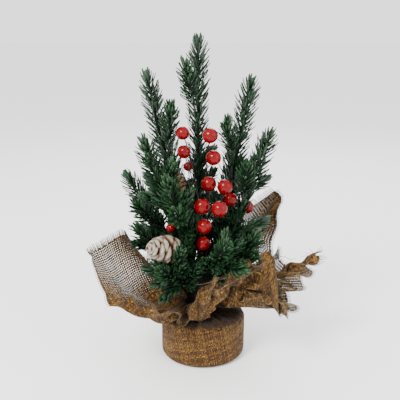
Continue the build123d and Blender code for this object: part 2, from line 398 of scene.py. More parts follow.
NEEDLE = needle_material()
STEM = grained("stem_plastic", 420.0, [(0.3, rgb(0.003, 0.009, 0.005)), (0.6, rgb(0.010, 0.014, 0.007)),
                                       (0.8, rgb(0.022, 0.016, 0.009))], 0.62, 0.0004, detail=3.0)
WIRE = grained("berry_wire", 700.0, [(0.3, rgb(0.003, 0.004, 0.002)), (0.7, rgb(0.014, 0.012, 0.007))],
               0.5, 0.0002, detail=2.0, rough=0.5, strength=0.6)
BERRY = berry_material()
FROSTED = cone_material("cone_frosted", True)
BROWN = cone_material("cone_brown", False)
BURLAP = burlap_material()
THREAD = grained("burlap_thread", 900.0, [(0.25, rgb(0.03, 0.02, 0.01)), (0.6, rgb(0.09, 0.065, 0.035)),
                                          (0.85, rgb(0.18, 0.14, 0.085))], 0.9, 0.0001,
                 detail=3.0, strength=0.7)
PLASTER = grained("plaster", 300.0, [(0.3, rgb(0.60, 0.58, 0.53)), (0.7, rgb(0.80, 0.78, 0.72))], 0.9, 0.0004)
TAPE = grained("floral_tape", 200.0, [(0.3, rgb(0.02, 0.07, 0.03)), (0.7, rgb(0.06, 0.16, 0.07))], 0.7, 0.0003)
ELASTIC = grained("elastic", 400.0, [(0.3, rgb(0.62, 0.20, 0.03)), (0.7, rgb(0.80, 0.32, 0.06))], 0.55, 0.0002)


def paint_node(node, material):
    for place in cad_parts[node].material_slots:
        place.material = material


# ---- needles
END_BAND = 0.0006       # points this near an end of a brush belong to that end
WIDE = 0.0038           # a brush is at its full radius where it is wider than this
FULL_LEAD = 0.004       # the full needles start this much before the full radius


def brush_lines(node):
    """For each brush of a needles node: base, unit axis, length and radius along it."""
    lines = []
    for points in node_parts(node):
        centre = points.mean(0)
        axis = np.linalg.svd(points - centre, full_matrices=False)[2][0]
        t = (points - centre) @ axis
        off = np.linalg.norm(points - centre - np.outer(t, axis), axis=1)
        ends = (t.min(), t.max())
        spread = [off[np.abs(t - e) < END_BAND].mean() for e in ends]
        if spread[0] < spread[1]:
            axis, t = -axis, -t
        tip = points[np.argmax(t)]
        base = points[t < t.min() + 0.0003].mean(0)
        length = np.linalg.norm(tip - base)
        axis = (tip - base) / length
        t = (points - base) @ axis
        off = np.linalg.norm(points - base - np.outer(t, axis), axis=1)
        lines.append((base, axis, length, t, off))
    return lines


def full_from(t, off):
    """Distance from the base at which a brush's full needles start."""
    wide = t[off > WIDE]
    return max(0.0, float(wide.min()) - FULL_LEAD) if len(wide) else 0.0


def needle_block(base, axis, start, end, lit, *, spacing, reach, flare, stem, taper_end):
    """Curved, tapering needles set round a stretch of stem, in metres; the flare is in degrees."""
    count = max(4, int((end - start) / spacing))
    side, up = axis_frame(axis)
    k = np.arange(count)
    place = start + (k + RNG.uniform(-0.4, 0.4, count)) * (end - start) / count
    turn = k * GOLDEN + RNG.uniform(-0.25, 0.25, count)
    radial = np.outer(np.cos(turn), side) + np.outer(np.sin(turn), up)
    tangent = np.cross(axis, radial)
    near = np.zeros(count)
    if taper_end:
        near = np.clip((place - (end - taper_end)) / taper_end, 0, 1)
    angle = np.radians(flare) * (1 - 0.62 * near) + np.radians(RNG.normal(0, 4.0, count))
    length = reach * (1 - 0.28 * near) * RNG.uniform(0.86, 1.08, count)
    roll = RNG.uniform(-0.5, 0.5, count)
    bend = RNG.uniform(0.10, 0.30, count)
    sway = RNG.normal(0, 0.06, count)
    stations = np.array([0.0, 0.3, 0.68, 0.94])
    widths = np.array([0.55, 1.00, 1.00, 0.72]) * MM
    root = base + np.outer(place, axis) + radial * stem * 0.7
    width_scale = RNG.uniform(0.85, 1.15, count)
    rings = []
    for s, w in zip(stations, widths):
        phi = angle + bend * (0.5 - s)
        ahead = np.cos(phi)[:, None] * axis + np.sin(phi)[:, None] * radial
        centre = root + (length * s)[:, None] * ahead
        centre = centre + (length * s * s * sway)[:, None] * tangent
        normal = np.cross(ahead, tangent)
        flat = np.cos(roll)[:, None] * tangent + np.sin(roll)[:, None] * normal
        thick = np.cos(roll)[:, None] * normal - np.sin(roll)[:, None] * tangent
        half = (w * width_scale)[:, None]
        rings.append(np.stack([centre + flat * half, centre + thick * half * 0.5,
                               centre - flat * half, centre - thick * half * 0.5], axis=1))
    phi = angle - bend * 0.5
    tip = root + length[:, None] * (np.cos(phi)[:, None] * axis + np.sin(phi)[:, None] * radial)
    tip = tip + (length * sway)[:, None] * tangent
    verts = np.concatenate(rings + [tip[:, None, :]], axis=1)
    per = verts.shape[1]
    tris = [[12 + i, 12 + (i + 1) % 4, 16] for i in range(4)]
    offset = (np.arange(count) * per)[:, None, None]
    quads = (np.array(tube_quads(0, 3, 4))[None] + offset).reshape(-1, 4)
    tris = (np.array(tris)[None] + offset).reshape(-1, 3)
    along = np.array([0.0] * 4 + [0.3] * 4 + [0.62] * 4 + [0.86] * 4 + [1.0])
    tone = RNG.uniform(0, 1, count)
    colour = np.zeros((count, per, 4))
    colour[:, :, 0] = along
    colour[:, :, 1] = tone[:, None]
    colour[:, :, 2] = lit
    colour[:, :, 3] = 1
    return verts.reshape(-1, 3), quads, tris, colour.reshape(-1, 4)


def merge_blocks(blocks):
    verts, quads, tris, colours = [], [], [], []
    at = 0
    for v, q, t, c in blocks:
        verts.append(v)
        quads.append(q + at)
        tris.append(t + at)
        colours.append(c)
        at += len(v)
    return np.concatenate(verts), np.concatenate(quads), np.concatenate(tris), np.concatenate(colours)


# looks of the needles on each kind of shoot: metres, and degrees of flare
LOWER_MAIN = dict(spacing=0.00040, reach=0.0125, flare=32.0, stem=0.0012, taper_end=0.0)
UPPER_MAIN = dict(spacing=0.00047, reach=0.0152, flare=46.0, stem=0.0012, taper_end=0.014)
SIDE_SHOOT = dict(spacing=0.00046, reach=0.0140, flare=45.0, stem=0.0009, taper_end=0.014)
TWIG = dict(spacing=0.00042, reach=0.0115, flare=36.0, stem=0.0007, taper_end=0.009)
# how pale the needle tips are on each sprig, the needles' own pale tips with painted light on top (sprigs not
# listed take 0.55), and how many inner twigs it gets
TIP_PALENESS_AND_LIGHT = {"mid_left": 0.9, "side_left": 0.75, "centre_front": 0.95, "low_front_left": 0.85,
          "low_front_right": 0.95, "low_right": 0.9, "low_left": 0.7}
TWIGS = {"top": 10, "high_left": 9, "high_right": 9, "mid_left": 11, "mid_right": 8, "side_left": 5,
         "low_left": 3, "centre_front": 16, "low_front_left": 9, "low_front_right": 9, "low_right": 6,
         "back_left": 7, "back_right": 7, "back": 5}
# twigs placed in front of the frosted cone and the post: start, end (mm). They aren't tested
# with twig_fits, because they are meant to cover part of the cone.
FRONT_TWIGS = {"low_front_left": [((-23, -38, 90), (-19, -60, 126)), ((-17, -29, 84), (-4, -50, 104))],
               "centre_front": [((-13, -24, 117), (-16, -56, 124))],
               "low_front_right": [((9, -29, 94), (1, -52, 112))]}
SPRIG_NODES = sorted(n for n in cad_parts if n.startswith("sprig_") and n.endswith("_needles"))
PICK_NODES = sorted(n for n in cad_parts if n.startswith("pick_") and n.endswith("_berries"))
BERRY_AT = np.array([(p.min(0) + p.max(0)) / 2 for n in PICK_NODES for p in node_parts(n)])
CONE_NODES = ("frosted_cone_scales", "brown_cone_scales")
CONE_AT = np.array([(p.min(0) + p.max(0)) / 2 for n in CONE_NODES for p in node_parts(n)])
# for berries and for cones: centres, least distance to a twig, and radius kept free in the front view
KEEP_CLEAR = ((BERRY_AT, 0.0145, 0.013), (CONE_AT, 0.0140, 0.006))
TWIG_LOW, TWIG_HIGH = 0.072, 0.200      # heights between which a twig may end
BOX_MARGIN = 0.004                      # and how far inside the CAD box it stays


def twig_fits(start, end):
    """True where a twig clears the berries and cones, doesn't hide them, and stays inside the tree."""
    line = start + np.linspace(0, 1, 6)[:, None] * (end - start)
    for centres, gap, clear in KEEP_CLEAR:
        apart = line[:, None] - centres[None]
        in_front = (apart[..., 1] < 0.004) & (np.hypot(apart[..., 0], apart[..., 2]) < clear)
        if np.linalg.norm(apart, axis=2).min() < gap or in_front.any():
            return False
    low, high = np.array(CAD_BOX[0]) + BOX_MARGIN, np.array(CAD_BOX[1]) - BOX_MARGIN
    return bool(TWIG_LOW < end[2] < TWIG_HIGH and (end > low).all() and (end < high).all())


def twig_blocks(base, axis, start, end, count, lit):
    """Short side twigs that fill out the inside of the tree."""
    side, up = axis_frame(axis)
    blocks = []
    turn = RNG.uniform(0, 2 * math.pi)
    for k in range(count):
        place = base + axis * (start + (end - start) * (k + RNG.uniform(0.2, 0.8)) / count)
        for _ in range(9):
            turn += GOLDEN
            off = math.radians(RNG.uniform(38, 50))
            length = RNG.uniform(0.020, 0.032)
            way = math.cos(off) * axis + math.sin(off) * (math.cos(turn) * side + math.sin(turn) * up)
            if twig_fits(place, place + way * length):
                blocks.append(needle_block(place, way, 0.002, length - 0.004, lit, **TWIG))
                break
    return blocks


for node in SPRIG_NODES:
    body = node[:-len("_needles")]
    name = body[len("sprig_"):]
    lit = TIP_PALENESS_AND_LIGHT.get(name, 0.55)
    blocks = []
    lines = sorted(brush_lines(node), key=lambda line: -line[2])
    base, axis, length, t, off = lines[0]       # the longest brush is the main shoot
    full = full_from(t, off)
    # painted light and shade in the tips: the lower needles on the main shoot take 0.4 of the sprig's value,
    # the inner twigs 0.6, the front twigs 0.8 and the side shoots 0.2 more
    if full > 0.010:
        blocks.append(needle_block(base, axis, -0.016, full, lit * 0.4, **LOWER_MAIN))
    blocks.append(needle_block(base, axis, full, length - 0.007, lit, **UPPER_MAIN))
    blocks += twig_blocks(base, axis, -0.016, full * 0.5 + length * 0.35, TWIGS[name], lit * 0.6)
    for base, axis, length, t, off in lines[1:]:
        blocks.append(needle_block(base, axis, -0.012, length - 0.006, min(1.0, lit + 0.2), **SIDE_SHOOT))
    for start, end in FRONT_TWIGS.get(name, []):
        way = (np.array(end) - start) * MM
        long = np.linalg.norm(way)
        blocks.append(needle_block(np.array(start) * MM, way / long, 0.002, long - 0.004, lit * 0.8, **TWIG))
    verts, quads, tris, colours = merge_blocks(blocks)
    obj = make_mesh(body + "_foliage", verts, [quads, tris], NEEDLE, body, smooth=False)
    point_colour(obj, "needle", colours)
    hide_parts(node)
    paint_node(body + "_stem", STEM)


# ---- berries
def berry_mesh(centre, radius, wire_from, seed):
    """Slightly uneven ball with a puckered end away from the wire."""
    rng = np.random.default_rng(seed)
    out = unit(centre - wire_from)
    side, up = axis_frame(out)
    rows, cols = 26, 40
    lat = np.linspace(0, math.pi, rows)
    lon = np.arange(cols) * 2 * math.pi / cols
    verts, data = [], []
    wave = rng.uniform(0, 2 * math.pi, 4)
    for i, a in enumerate(lat):
        ring = [0.0] if i in (0, rows - 1) else lon
        for b in ring:
            uneven = 0.012 * math.sin(2 * b + wave[0]) * math.sin(a)
            r = radius * (1 + uneven + 0.010 * math.cos(3 * a + wave[1]))
            pucker = math.exp(-(a / 0.16) ** 2)
            r *= 1 - 0.05 * pucker
            p = centre + r * (math.cos(a) * out + math.sin(a) * (math.cos(b) * side + math.sin(b) * up))
            verts.append(p)
            data.append((1.0 if a < 0.13 else 0.0, wave[2] / 6.3, 0.0, 1.0))     # dark end, tone
    quads, tris = [], []

    def index(i, j):
        if i == 0:
            return 0
        if i == rows - 1:
            return 1 + (rows - 2) * cols
        return 1 + (i - 1) * cols + j % cols
    for i in range(rows - 1):
        for j in range(cols):
            if i == 0:
                tris.append([index(0, 0), index(1, j), index(1, j + 1)])
            elif i == rows - 2:
                tris.append([index(i, j), index(i + 1, 0), index(i, j + 1)])
            else:
                quads.append([index(i, j), index(i + 1, j), index(i + 1, j + 1), index(i, j + 1)])
    return np.array(verts), np.array(quads), np.array(tris), np.array(data)


for number, node in enumerate(PICK_NODES):
    body = node[:-len("_berries")]
    wires = np.concatenate(node_parts(body + "_wires"))
    blocks = []
    for k, points in enumerate(sorted(node_parts(node), key=lambda p: p[:, 2].mean())):
        low, high = points.min(0), points.max(0)
        centre = (low + high) / 2
        radius = (high - low).max() / 2
        gap = np.linalg.norm(wires - centre, axis=1)
        touch = wires[(gap > radius * 0.9) & (gap < radius * 1.6)]
        wire_from = touch.mean(0) if len(touch) else centre - np.array([0, 0, 0.01])
        blocks.append(berry_mesh(centre, radius, wire_from, 100 + 10 * number + k))
    verts, quads, tris, data = merge_blocks(blocks)
    obj = make_mesh(body + "_balls", verts, [quads, tris], BERRY, body)
    point_colour(obj, "berry", data)
    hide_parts(node)
    paint_node(body + "_wires", WIRE)


# ---- cones
CORE_RINGS, CORE_SIDES = 9, 20      # of the closed core under a cone's scales
SCALE_COLS = 7
# across a scale, from its root to its lip: how far out, how broad and how thick
SCALE_SPANS = [(0.0, 0.30, 0.5), (0.45, 0.75, 0.8), (0.75, 1.0, 1.2), (0.92, 0.96, 1.8),
               (1.02, 0.74, 1.7), (1.07, 0.34, 0.9)]


def cone_scales(body, material, rows, broad, gap_open, seed):
    """A cone of spiralling scales round a core, in the place of the body's scales node."""
    node, wire_node = body + "_scales", body + "_wire"
    rng = np.random.default_rng(seed)
    points = np.concatenate(node_parts(node))
    wire = np.concatenate(node_parts(wire_node))
    centre = (points.min(0) + points.max(0)) / 2
    inside = wire[np.argsort(np.linalg.norm(wire - centre, axis=1))[:12]].mean(0)
    centred = points - points.mean(0)
    axis = np.linalg.svd(centred, full_matrices=False)[2][0]
    guess = unit(centre - inside)
    if abs(axis @ guess) < 0.8:
        axis = guess
    if axis @ guess < 0:
        axis = -axis
    t = (points - centre) @ axis
    base = centre + axis * t.min()
    length = t.max() - t.min()
    off = np.linalg.norm(points - centre - np.outer(t, axis), axis=1)
    half = off.max()
    side, up = axis_frame(axis)
    verts, quads, tris, data = [], [], [], []
    at = 0
    for k in range(rows):
        f = (k + 0.5) / rows
        profile = math.sin(math.pi * min(1.0, 0.12 + 0.86 * f)) ** 0.62
        girth = half * (0.30 + 0.70 * profile) * (1.0 - 0.25 * f)
        place = base + axis * length * (0.03 + 0.90 * f)
        turn = k * GOLDEN + rng.uniform(-0.06, 0.06)
        radial = math.cos(turn) * side + math.sin(turn) * up
        tangent = np.cross(axis, radial)
        lift = math.radians(60 - 54 * f + gap_open * (1 - f) + rng.uniform(-4, 4))
        ahead = unit(radial * math.sin(lift) + axis * math.cos(lift))
        normal = unit(np.cross(tangent, ahead))
        width = girth * broad * (0.75 + 0.25 * (1 - f))
        reach = girth * 0.95
        thick = width * 0.24
        root = place + radial * girth * 0.10
        spans, cols = SCALE_SPANS, SCALE_COLS
        for s, w, th in spans:
            for under in (False, True):
                for c in range(cols):
                    x = (c / (cols - 1)) * 2 - 1
                    crown = 1 - x * x
                    rise = -0.30 if under else 0.35 + crown
                    out = s * 0.45 if under else min(1.0, s * 1.05) * (0.75 + 0.25 * crown)
                    p = root + ahead * reach * s + tangent * width * w * x + normal * thick * th * rise
                    verts.append(p)
                    data.append((out, rng.uniform(0, 1), 0, 1))
        step = cols * 2
        for r in range(len(spans) - 1):
            for c in range(cols - 1):
                a = at + r * step + c
                quads.append([a, a + 1, a + step + 1, a + step])
                b = a + cols
                quads.append([b, b + step, b + step + 1, b + 1])
            for c in (0, cols - 1):
                a = at + r * step + c
                pair = [a, a + step, a + step + cols, a + cols]
                quads.append(pair if c == 0 else pair[::-1])
        for r in (0, len(spans) - 1):
            for c in range(cols - 1):
                a = at + r * step + c
                pair = [a, a + cols, a + cols + 1, a + 1]
                quads.append(pair if r == 0 else pair[::-1])
        at += step * len(spans)
    # core under the scales
    ring, last = CORE_SIDES, CORE_RINGS - 1
    for i in range(CORE_RINGS):
        f = i / last
        girth = half * 0.52 * math.sin(math.pi * min(1, 0.14 + 0.84 * f)) ** 0.7
        for j in range(ring):
            b = 2 * math.pi * j / ring
            place = base + axis * length * (0.04 + 0.78 * f)
            verts.append(place + girth * (math.cos(b) * side + math.sin(b) * up))
            data.append((0.0, 0.3, 0, 1))
    quads += tube_quads(at, last, ring)
    low_end, high_end = at, at + last * ring
    at += CORE_RINGS * ring
    verts.append(base + axis * length * 0.03)
    verts.append(base + axis * length * 0.84)
    data += [(0, 0.3, 0, 1), (0, 0.3, 0, 1)]
    for j in range(ring):
        tris.append([at, low_end + (j + 1) % ring, low_end + j])
        tris.append([at + 1, high_end + j, high_end + (j + 1) % ring])
    obj = make_mesh(body + "_body", np.array(verts), [np.array(quads), np.array(tris)], material, body)
    point_colour(obj, "scale", np.array(data))
    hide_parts(node)
    return obj


frosted = cone_scales("frosted_cone", FROSTED, rows=38, broad=0.60, gap_open=12, seed=5)
brown = cone_scales("brown_cone", BROWN, rows=36, broad=0.55, gap_open=22, seed=6)
paint_node("frosted_cone_wire", WIRE)
paint_node("brown_cone_wire", WIRE)

# ---- burlap square
SQUARE = 334.0          # mm, flat side of the cloth
GRID = 161              # points along a side of it
TURN = -35.0            # how the square is turned on the foot, degrees
SHIFT = np.array([2.0, 8.0])    # and how far off its middle it stands, mm
FOOT_R = (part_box("burlap_foot")[1][0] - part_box("burlap_foot")[0][0]) / 2 / MM
FOOT_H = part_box("burlap_foot")[1][2] / MM
NECK_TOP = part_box("burlap_neck")[1][2] / MM
BAND_IN = 10.1          # radius of the cloth under the tie
NECK_FLARE = 1.6        # and how much wider it is at the neck's two ends
EDGE_LOW, EDGE_TOP = 5.5, 3.5   # radii of the drum's two rounded edges
CORNER_AT = 10          # direction of one corner of the flat square, degrees; the others are 90 apart
# direction on the flat cloth and at the neck (degrees), middle and end of the cloth along it (mm)
RIBS = [
    (-170, -175, (-58, -18, 68), (-106, -12, 114)),
    (-160, -160, (-46, -32, 54), (-83, -46, 76)),
    (-148, -145, (-38, -31, 49), (-58, -47, 65)),
    (-136, -130, (-24, -32, 51), (-32, -46, 60)),
    (-124, -112, (-9, -25, 51), (-12, -37, 53)),
    (-114, -98, (-2, -27, 52), (-1, -38, 70)),
    (-104, -82, (7, -34, 68), (18, -49, 95)),
    (-92, -66, (26, -36, 78), (50, -46, 109)),
    (-86, -57, (38, -34, 79), (62, -46, 110)),
    (-80, -50, (46, -32, 76), (68, -46, 62)),
    (-66, -38, (44, -24, 60), (78, -38, 62)),
    (-52, -26, (44, -15, 56), (72, -22, 62)),
    (-36, -16, (42, -10, 58), (68, -12, 64)),
    (-20, -6, (44, -8, 62), (74, -14, 72)),
    (-6, 2, (52, -8, 66), (93, -20, 80)),
    (10, 9, (60, 0, 74), (107, 0, 100)),
    (17, 13, (50, 8, 68), (84, 10, 80)),
    (24, 17, (46, 14, 72), (74, 20, 93)),
    (40, 24, (40, 18, 66), (62, 30, 74)),
    (58, 33, (38, 20, 66), (56, 33, 76)),
    (78, 44, (38, 22, 74), (58, 33, 82)),
    (88, 49, (40, 22, 84), (64, 27, 100)),
    (94, 52, (41, 24, 92), (71, 32, 125)),
    (100, 56, (40, 27, 98), (77, 38, 151)),
    (107, 62, (30, 30, 90), (46, 46, 127)),
    (114, 68, (22, 29, 82), (31, 44, 115)),
    (132, 90, (12, 32, 70), (20, 52, 90)),
    (148, 115, (-9, 36, 66), (-10, 60, 80)),
    (162, 142, (-28, 22, 68), (-46, 34, 92)),
    (173, 160, (-36, 12, 62), (-60, 26, 86)),
    (181, 172, (-46, 3, 80), (-80, 14, 121)),
]


def smoothstep(x):
    x = np.clip(x, 0, 1)
    return x * x * (3 - 2 * x)


def periodic_spline(keys, values, at):
    """Catmull-Rom through values at angle keys, wrapping at 360 degrees."""
    keys = np.asarray(keys, float)
    values = np.asarray(values, float)
    count = len(keys)
    keys = np.concatenate([keys - 360, keys, keys + 360])
    values = np.concatenate([values, values, values])
    i = np.clip(np.searchsorted(keys, at, side="right") - 1, 1, 3 * count - 3)
    x = (at - keys[i]) / (keys[i + 1] - keys[i])
    x = x.reshape(x.shape + (1,) * (values.ndim - 1))
    p0, p1, p2, p3 = values[i - 1], values[i], values[i + 1], values[i + 2]
    square = (2 * p0 - 5 * p1 + 4 * p2 - p3) * x ** 2
    return 0.5 * (2 * p1 + (p2 - p0) * x + square + (3 * p1 - p0 - 3 * p2 + p3) * x ** 3)


def periodic_linear(keys, values, at):
    """Straight lines between the angle keys, wrapping at 360 degrees."""
    values = np.asarray(values, float)
    columns = [np.interp(at, keys, column, period=360) for column in values.T]
    return np.stack(columns, axis=-1)


def bell(x, centre, width):
    return np.exp(-((x - centre) / width) ** 2)


def near_corner(phi, width):
    """1 on each corner of the flat square."""
    return bell(np.mod(phi - CORNER_AT + 45, 90) - 45, 0, width)


def foot_profile(s):
    """Radius and height on the foot at a distance along the cloth, and where each stretch ends."""
    flat = FOOT_R - EDGE_LOW
    arc_low = EDGE_LOW * math.pi / 2
    side = FOOT_H - EDGE_LOW - EDGE_TOP
    arc_top = EDGE_TOP * math.pi / 2
    inward = FOOT_R - EDGE_TOP - BAND_IN - NECK_FLARE
    rise = NECK_TOP - FOOT_H
    stops = np.cumsum([flat, arc_low, side, arc_top, inward, rise])
    low = (s - stops[0]) / EDGE_LOW
    top = (s - stops[2]) / EDGE_TOP
    t = np.clip((s - stops[4]) / rise, 0, 1)
    r = [s, flat + EDGE_LOW * np.sin(low), np.full_like(s, FOOT_R), FOOT_R - EDGE_TOP * (1 - np.cos(top)),
         FOOT_R - EDGE_TOP - (s - stops[3]), BAND_IN + NECK_FLARE * np.abs(1 - 2 * t) ** 1.5]
    z = [np.zeros_like(s), EDGE_LOW * (1 - np.cos(low)), EDGE_LOW + s - stops[1],
         FOOT_H - EDGE_TOP + EDGE_TOP * np.sin(top), np.full_like(s, FOOT_H), FOOT_H + t * rise]
    stretch = np.digitize(s, stops[:5])
    return np.choose(stretch, r), np.choose(stretch, z), stops


def cloth_points():
    """The square's grid laid over the foot, through the tie and out along RIBS."""
    line = np.linspace(-SQUARE / 2, SQUARE / 2, GRID)
    gx, gy = np.meshgrid(line, line, indexing="ij")
    cos, sin = math.cos(math.radians(TURN)), math.sin(math.radians(TURN))
    ux, uy = gx * cos - gy * sin, gx * sin + gy * cos
    px, py = ux - SHIFT[0], uy - SHIFT[1]
    s = np.hypot(px, py)
    phi = np.degrees(np.arctan2(py, px))
    r, z, stops = foot_profile(s)
    end = stops[-1]
    # distance from the middle to the edge of the cloth along each direction
    dx, dy = px / np.maximum(s, 1e-9), py / np.maximum(s, 1e-9)
    fx, fy = dx * cos + dy * sin, -dx * sin + dy * cos
    ox = SHIFT[0] * cos + SHIFT[1] * sin
    oy = -SHIFT[0] * sin + SHIFT[1] * cos
    half = SQUARE / 2
    reach_x = np.where(fx > 0, half - ox, half + ox) / np.maximum(np.abs(fx), 1e-6)
    reach_y = np.where(fy > 0, half - oy, half + oy) / np.maximum(np.abs(fy), 1e-6)
    edge = np.minimum(reach_x, reach_y)
    keys = [rib[0] for rib in RIBS]
    wrapped = np.where(phi < keys[0], phi + 360, phi)
    lag = np.array([rib[1] - rib[0] for rib in RIBS], float)
    turn_neck = wrapped + periodic_spline(keys, lag, wrapped)
    share = smoothstep((s - stops[0]) / (stops[-2] - stops[0]))
    theta = np.radians(wrapped + (turn_neck - wrapped) * share)
    wave = np.sin(21 * theta + 2.0 * np.sin(3 * theta + 0.5) + 1.2 * np.sin(5 * theta + 2.0))
    wave2 = np.sin(9 * theta + 1.4 * np.sin(2 * theta) + 1.0)
    # small folds up the drum's side, larger ones over its top and in the neck
    on_side = smoothstep((s - stops[1] + 4) / 25)
    amp = 0.36 * on_side + 1.8 * smoothstep((s - stops[3] + 3) / 12)
    amp = amp * (1 - 0.45 * smoothstep((s - stops[4]) / 3))
    top = smoothstep((s - stops[3] + 3) / 6) * (1 - smoothstep((s - stops[4] + 3) / 4))
    lift = amp * (0.7 * wave + 0.5 * wave2)
    radius = r + np.maximum(lift - 0.2 * amp, -0.5) * (1 - top)     # never deeper than 0.5 mm into the drum
    height = z + top * np.abs(lift) * 1.2
    base = np.stack([radius * np.cos(theta), radius * np.sin(theta), height], axis=-1)
    # wings
    over = np.clip((s - end) / np.maximum(edge - end, 1e-6), 0, 1)
    mid = periodic_spline(keys, [rib[2] for rib in RIBS], wrapped)
    tip = periodic_spline(keys, [rib[3] for rib in RIBS], wrapped)
    corner = near_corner(wrapped, 12)[..., None]        # straight between the ribs there, so it stays sharp
    tip = tip + corner * (periodic_linear(keys, [rib[3] for rib in RIBS], wrapped) - tip)
    neck = BAND_IN + NECK_FLARE
    start = np.stack([neck * np.cos(theta), neck * np.sin(theta), np.full_like(s, NECK_TOP)], axis=-1)
    control = 2 * mid - (start + tip) / 2
    v = over[..., None]
    wing = (1 - v) ** 2 * start + 2 * v * (1 - v) * control + v ** 2 * tip
    # pleats run on into the wings and fade
    fade = (1 - over) ** 1.3 * smoothstep(over / 0.04)
    du = np.gradient(wing, axis=0)
    dv = np.gradient(wing, axis=1)
    normal = np.cross(du, dv)
    normal /= np.maximum(np.linalg.norm(normal, axis=-1, keepdims=True), 1e-9)
    pleat = 6.0 * fade * smoothstep(over / 0.2) * wave + 2.2 * (1 - over) * over * 4 * wave2
    wing = wing + normal * pleat[..., None]
    out = np.where((s > end)[..., None], wing, base)
    return out, s, phi, over, theta, gx, gy, stops


def relax(points, pinned, rest, rounds, pull, push, smooth):
    """Position-based pass: threads keep their length when pulled, and give way more easily when squeezed."""
    p = points.copy()
    goal = points.copy()
    w = np.where(pinned, 0.0, 1.0)[..., None]

    def along(axis, gap, length, stiff):
        q = np.swapaxes(p, 0, axis)
        ww = np.swapaxes(w, 0, axis)
        for phase in range(2 * gap):
            first, second = q[phase::2 * gap], q[phase + gap::2 * gap]
            n = min(len(first), len(second))
            wa, wb = ww[phase::2 * gap][:n], ww[phase + gap::2 * gap][:n]
            d = second[:n] - first[:n]
            dist = np.linalg.norm(d, axis=-1, keepdims=True)
            firm = np.where(dist > length, stiff, stiff * push)
            move = firm * (dist - length) / np.maximum(dist, 1e-9) * d / np.maximum(wa + wb, 1e-9)
            first[:n] += wa * move
            second[:n] -= wb * move

    for _ in range(rounds):
        p += w * (goal - p) * pull[..., None]
        for gap, stiff in ((1, 0.8), (2, 0.3)):
            along(0, gap, rest * gap, stiff)
            along(1, gap, rest * gap, stiff)
        mean = (p[:-2, 1:-1] + p[2:, 1:-1] + p[1:-1, :-2] + p[1:-1, 2:]) / 4
        p[1:-1, 1:-1] += w[1:-1, 1:-1] * smooth[1:-1, 1:-1, None] * (mean - p[1:-1, 1:-1])
        radius = np.hypot(p[..., 0], p[..., 1])
        low = (w[..., 0] > 0) & (radius < FOOT_R + 0.6) & (p[..., 2] < FOOT_H + 1.0)
        p[..., 2] = np.where(low, FOOT_H + 1.0, p[..., 2])
    return p


def finer(coarse):
    """Twice as many rows and columns, by Catmull-Rom."""
    for axis in (0, 1):
        q = np.swapaxes(coarse, 0, axis)
        ends = np.concatenate([2 * q[:1] - q[1:2], q, 2 * q[-1:] - q[-2:-1]])
        half = (9 * (ends[1:-2] + ends[2:-1]) - ends[:-3] - ends[3:]) / 16
        out = np.empty((2 * len(q) - 1,) + q.shape[1:])
        out[::2] = q
        out[1::2] = half
        coarse = np.swapaxes(out, 0, axis)
    return coarse


cloth, s_flat, phi_flat, over, theta, gx, gy, stops = cloth_points()
held = s_flat < stops[-1] + 3.0
SLACK = 1.08            # threads may come out this much longer: the weave is loose, and the area test needs it
REST = SLACK * SQUARE / (GRID - 1)
bearing = np.mod(phi_flat, 360)


def band(centre, width):
    """Bell over the flat direction, in degrees, all the way round."""
    return bell(np.mod(bearing - centre + 180, 360) - 180, 0, width)


# extra smoothing under the left wing, beside it and on the right wing up to direction 0
turned = np.where(phi_flat > 0, phi_flat - 360, phi_flat)
calm = 0.30 * bell(turned, -155, 31) + 0.16 * bell(turned, -122, 13) + 0.16 * bell(turned, -22, 24)
# how strongly each point is drawn back to where the ribs put it
pull = 0.05 + 0.30 * over * near_corner(bearing, 13)
# three passes, each on a grid twice as fine as the last
coarse = relax(cloth[::4, ::4], held[::4, ::4], REST * 4, rounds=80, pull=pull[::4, ::4], push=0.60,
               smooth=0.03 + calm[::4, ::4])
middle = np.where(held[::2, ::2][..., None], cloth[::2, ::2], finer(coarse))
middle = relax(middle, held[::2, ::2], REST * 2, rounds=50, pull=pull[::2, ::2], push=0.28,
               smooth=0.05 + calm[::2, ::2])
fine = np.where(held[..., None], cloth, finer(middle))
cloth = relax(fine, held, REST, rounds=30, pull=pull, push=0.05, smooth=0.07 + calm)

index = np.arange(GRID * GRID).reshape(GRID, GRID)
quads = np.stack([index[:-1, :-1], index[1:, :-1], index[1:, 1:], index[:-1, 1:]], axis=-1).reshape(-1, 4)
sheet = make_mesh("burlap_square", cloth.reshape(-1, 3) * MM, [quads], BURLAP, None)
# weave coordinates: flat cloth, or round the drum where the cloth is gathered on it
face_s = s_flat.reshape(-1)[quads].mean(1)
drum = (face_s > stops[0] + 3) & (face_s < stops[-1] - 1)
theta_q = theta.reshape(-1)[quads]
theta_q = theta_q - 2 * math.pi * np.round((theta_q - theta_q[:, :1]) / (2 * math.pi))
flat_uv = np.stack([gx.reshape(-1)[quads], gy.reshape(-1)[quads]], axis=-1)
drum_u = theta_q * FOOT_R
drum_v = s_flat.reshape(-1)[quads]
DRUM_WEAVE = 1.55       # the weave is this much finer on the drum, and turned by about 10 degrees
drum_uv = DRUM_WEAVE * np.stack([drum_u * 0.98 + drum_v * 0.18, drum_v * 0.98 - drum_u * 0.18], axis=-1)
uv = np.where(drum[:, None, None], drum_uv, flat_uv)
layer = sheet.data.uv_layers.new(name="UVMap")
layer.data.foreach_set("uv", uv.reshape(-1).astype(np.float32))
opened = smoothstep((over - 0.30) / 0.35) * 0.92

# doubled or gathered parts look closed: the left wing's roll and underside, the front flap, the back
# wing's strip and the right wing
roll = band(179, 6)
strip = band(97, 10)
closed = band(208, 16) + band(235, 22) + 0.95 * band(272, 18) + strip + roll
closed = closed + 0.65 * band(318, 26) + 0.25 * band(350, 20) + 0.8 * band(8, 10)
opened = opened * (1 - np.clip(closed, 0, 1) * 0.95)
